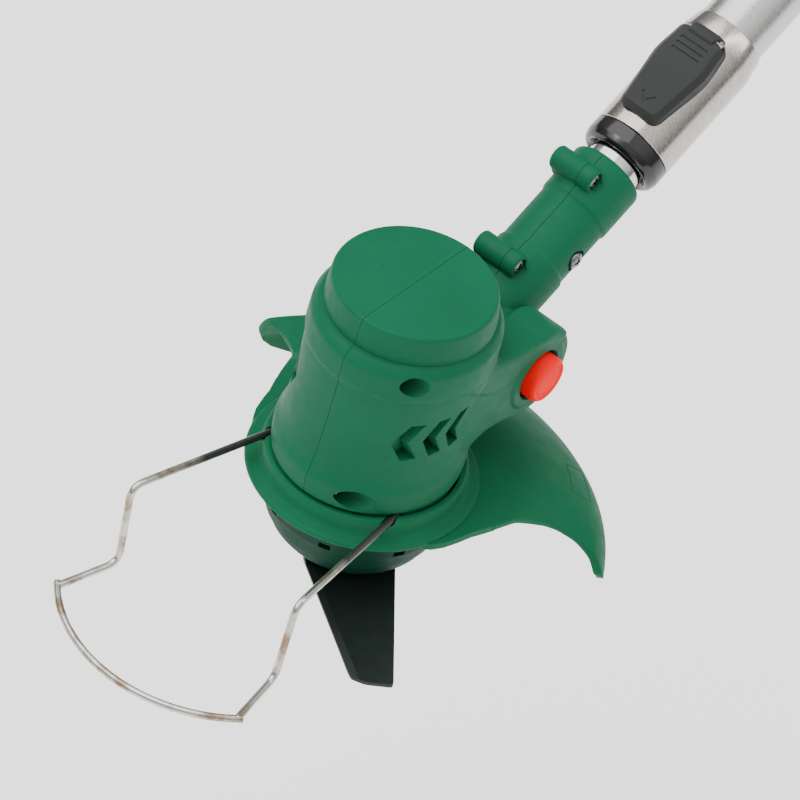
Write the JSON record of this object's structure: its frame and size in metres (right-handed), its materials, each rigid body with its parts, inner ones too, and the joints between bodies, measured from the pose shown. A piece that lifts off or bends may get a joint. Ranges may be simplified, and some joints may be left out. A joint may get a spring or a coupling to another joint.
{
  "type": "string trimmer",
  "caption": "Cordless grass trimmer: tilting motor head with a steel blade, drooping guard and wire edge guard, on a telescopic pole with rear grip, front handle and battery.",
  "frame": {"origin": "centre of the blade nut's lower face, on the motor axis", "axes": "+Z along the motor axis, up from the blade; +Y towards the pole and the user; -Y the front, with the edge guard; +X the side with the tilt button"},
  "size_m": [0.1642, 0.7805, 0.3752],
  "materials": {
    "housing_plastic": "satin moulded dark green plastic, seen",
    "screw_steel": "zinc plated steel",
    "motor_steel": "plain steel",
    "copper": "bare copper or bronze",
    "black_plastic": "satin black plastic",
    "ferrite": "dark grey ceramic magnet",
    "carbon": "carbon brush",
    "bowl_plastic": "satin moulded dark green plastic in shade",
    "guard_plastic": "satin moulded dark green plastic",
    "blade_steel": "dark green-black coated steel",
    "wire_steel": "bare spring wire with a dark sleeve near the casing",
    "red_plastic": "semi-gloss red plastic",
    "neck_plastic": "satin moulded dark green plastic",
    "tube_chrome": "bright plated tube",
    "grey_plastic": "matt dark grey plastic",
    "outer_tube_metal": "lightly brushed plated steel",
    "collar_plastic": "polished black plastic",
    "sleeve_nickel": "lightly brushed nickel plate",
    "handle_plastic": "satin moulded dark green plastic",
    "cell_wrap": "shrink-wrapped cells"
  },
  "bodies": {
    "handle": {"outer_tube": "outer_tube_metal", "sleeve_collar": "collar_plastic", "lock_sleeve": "sleeve_nickel", "handle_right": "handle_plastic", "handle_left": "handle_plastic", "handle_screw_1": "screw_steel", "handle_screw_2": "screw_steel", "handle_screw_3": "screw_steel", "trigger_pin": "screw_steel", "trigger_switch": "black_plastic", "terminal_right": "copper", "terminal_left": "copper", "aux_clamp": "black_plastic"},
    "inner_pole": {"inner_tube": "tube_chrome", "tube_bush": "grey_plastic", "neck_right": "neck_plastic", "neck_left": "neck_plastic", "neck_screw_lower": "screw_steel", "neck_screw_upper": "screw_steel", "neck_screw_side": "screw_steel", "tilt_spring": "motor_steel"},
    "head": {"housing_right": "housing_plastic", "housing_left": "housing_plastic", "housing_screw_upper": "screw_steel", "housing_screw_lower": "screw_steel", "motor_can": "motor_steel", "lower_bushing": "copper", "motor_end_cap": "black_plastic", "upper_bushing": "copper", "magnet_right": "ferrite", "magnet_left": "ferrite", "brush_right": "carbon", "brush_left": "carbon", "lower_bowl": "bowl_plastic", "bowl_screw_1": "screw_steel", "bowl_screw_2": "screw_steel", "guard": "guard_plastic", "wire_guard": "wire_steel", "tilt_pin": "motor_steel"},
    "rotor": {"motor_shaft": "motor_steel", "armature": "copper", "cooling_fan": "black_plastic", "blade": "blade_steel", "blade_hub": "black_plastic", "blade_washer": "motor_steel", "blade_nut": "motor_steel"},
    "tilt_release": {"tilt_button": "red_plastic", "tilt_lock_gear": "motor_steel"},
    "length_lever": {"lock_lever": "black_plastic", "lever_pin": "screw_steel"},
    "front_handle": {"aux_handle": "black_plastic"},
    "front_knob": {"aux_knob": "black_plastic", "aux_bolt": "screw_steel"},
    "trigger": {"trigger": "black_plastic"},
    "lock_off": {"lock_off_button": "black_plastic"},
    "battery": {"battery_case": "black_plastic", "battery_lid": "grey_plastic", "battery_cells": "cell_wrap"},
    "battery_latch": {"battery_latch": "red_plastic"}
  },
  "joints": [
    {"name": "telescope", "type": "slide", "parent": "handle", "child": "inner_pole", "axis": [0, -0.8915, -0.4531], "range_m": [0, 0.22]},
    {"name": "head_tilt", "type": "hinge", "parent": "inner_pole", "child": "head", "pos_m": [0, 0.0499, 0.077], "axis": [1, 0, 0], "range_deg": [-15, 30]},
    {"name": "blade_spin", "type": "hinge", "parent": "head", "child": "rotor", "pos_m": [0, 0, 0], "axis": [0, 0, 1], "continuous": true},
    {"name": "tilt_button_press", "type": "slide", "parent": "head", "child": "tilt_release", "axis": [-1, 0, 0], "range_m": [0, 0.0025], "stiffness_N_per_m": 800, "springref_m": -0.001},
    {"name": "length_lever", "type": "hinge", "parent": "handle", "child": "length_lever", "pos_m": [0, 0.16174, 0.1538], "axis": [-1, 0, 0], "range_deg": [0, 60]},
    {"name": "front_handle_swing", "type": "hinge", "parent": "handle", "child": "front_handle", "pos_m": [0, 0.35458, 0.26325], "axis": [1, 0, 0], "range_deg": [-30, 30]},
    {"name": "front_knob_turn", "type": "hinge", "parent": "handle", "child": "front_knob", "pos_m": [0, 0.35458, 0.26325], "axis": [1, 0, 0], "continuous": true},
    {"name": "trigger_pull", "type": "hinge", "parent": "handle", "child": "trigger", "pos_m": [0, 0.46881, 0.289], "axis": [1, 0, 0], "range_deg": [0, 8], "stiffness_Nm_per_rad": 0.4, "springref_deg": -8.59},
    {"name": "lock_off_push", "type": "slide", "parent": "handle", "child": "lock_off", "axis": [-1, 0, 0], "range_m": [0, 0.003], "stiffness_N_per_m": 500, "springref_m": -0.001},
    {"name": "battery_slide", "type": "slide", "parent": "handle", "child": "battery", "axis": [0, 0.8915, 0.4531], "range_m": [0, 0.06]},
    {"name": "battery_latch_press", "type": "slide", "parent": "battery", "child": "battery_latch", "axis": [0, 0.4531, -0.8915], "range_m": [0, 0.003], "stiffness_N_per_m": 800, "springref_m": -0.001}
  ]
}
